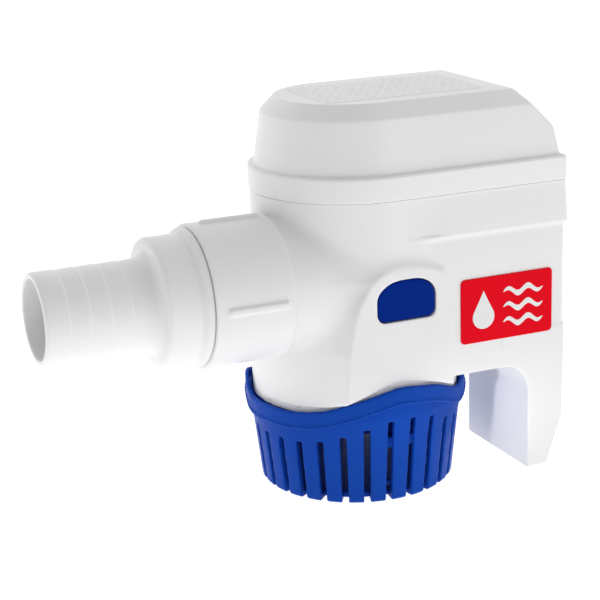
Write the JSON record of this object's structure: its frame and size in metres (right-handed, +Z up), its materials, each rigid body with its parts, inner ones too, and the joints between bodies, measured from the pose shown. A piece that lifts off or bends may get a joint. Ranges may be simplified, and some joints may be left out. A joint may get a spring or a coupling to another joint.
{
  "type": "bilge pump",
  "caption": "Automatic submersible bilge pump: white motor housing with a float leg, side hose outlet with check valve, and a snap-off blue strainer base.",
  "frame": {"origin": "on the motor axis, on the strainer's underside", "axes": "+Z up along the motor axis, -X out of the discharge outlet, +X towards the float leg; the button and badge side shown faces -Y"},
  "size_m": [0.1809, 0.075, 0.1301],
  "materials": {
    "white_plastic": "satin white",
    "strainer_blue": "satin blue",
    "button_navy": "satin navy",
    "impeller_plastic": "matte",
    "badge_red": "satin red film",
    "label_film": "matte film",
    "grey_plastic": "matte",
    "rubber": "matte",
    "zinc_steel": "plated",
    "steel": "ground",
    "ferrite": "matte",
    "carbon": "matte",
    "copper": "enamelled",
    "bronze": "sintered",
    "board": "lacquered",
    "glass": "clear"
  },
  "bodies": {
    "strainer": {"strainer": "strainer_blue"},
    "pump": {"housing": "white_plastic", "top_cover": "white_plastic", "cover_label": "label_film", "cover_gasket": "rubber", "badge_plate": "badge_red", "motor_canister": "white_plastic", "canister_seal": "rubber", "canister_screw_1": "zinc_steel", "canister_screw_2": "zinc_steel", "canister_screw_3": "zinc_steel", "motor_can": "zinc_steel", "motor_end_cap": "grey_plastic", "magnet_left": "ferrite", "magnet_right": "ferrite", "brush_left": "carbon", "brush_right": "carbon", "shaft_seal": "rubber", "lower_bearing": "bronze", "upper_bearing": "bronze", "circuit_board": "board", "reed_switch": "glass", "board_screw_front": "zinc_steel", "board_screw_rear": "zinc_steel", "intake_plate": "impeller_plastic", "leg_grille": "white_plastic", "cable_gland": "rubber", "gland_nut": "white_plastic"},
    "rotor": {"shaft": "steel", "armature_core": "steel", "windings": "copper", "commutator": "copper", "impeller": "impeller_plastic"},
    "float": {"float": "grey_plastic", "float_magnet": "ferrite"},
    "latch_front": {"latch_button_front": "button_navy"},
    "latch_rear": {"latch_button_rear": "button_navy"},
    "tail": {"discharge_tail": "white_plastic", "check_valve_seat": "grey_plastic", "flap_pin": "steel", "tail_seal_ring": "rubber"},
    "nut": {"union_nut": "white_plastic"},
    "flap": {"check_flap": "rubber"}
  },
  "joints": [
    {"name": "pump_lift", "type": "slide", "parent": "strainer", "child": "pump", "axis": [0, 0, 1], "range_m": [0, 0.05]},
    {"name": "rotor_spin", "type": "hinge", "parent": "pump", "child": "rotor", "pos_m": [0, 0, 0.045], "axis": [0, 0, 1], "continuous": true},
    {"name": "float_travel", "type": "slide", "parent": "pump", "child": "float", "axis": [0, 0, 1], "range_m": [0, 0.016]},
    {"name": "latch_front_press", "type": "slide", "parent": "pump", "child": "latch_front", "axis": [0, 1, 0], "range_m": [0, 0.0018], "stiffness_N_per_m": 600, "springref_m": -0.0008},
    {"name": "latch_rear_press", "type": "slide", "parent": "pump", "child": "latch_rear", "axis": [0, -1, 0], "range_m": [0, 0.0018], "stiffness_N_per_m": 600, "springref_m": -0.0008},
    {"name": "tail_draw", "type": "slide", "parent": "pump", "child": "tail", "axis": [-1, 0, 0], "range_m": [0, 0.0121]},
    {"name": "nut_spin", "type": "hinge", "parent": "tail", "child": "nut", "pos_m": [-0.05, -0.011, 0.0726], "axis": [-1, 0, 0], "range_deg": [0, 1440]},
    {"name": "flap_swing", "type": "hinge", "parent": "tail", "child": "flap", "pos_m": [-0.0671, -0.011, 0.0834], "axis": [0, 1, 0], "range_deg": [0, 55]}
  ],
  "couplings": [
    {"joint": "tail_draw", "follows": "nut_spin", "m_per_rad": 0.00047746}
  ]
}
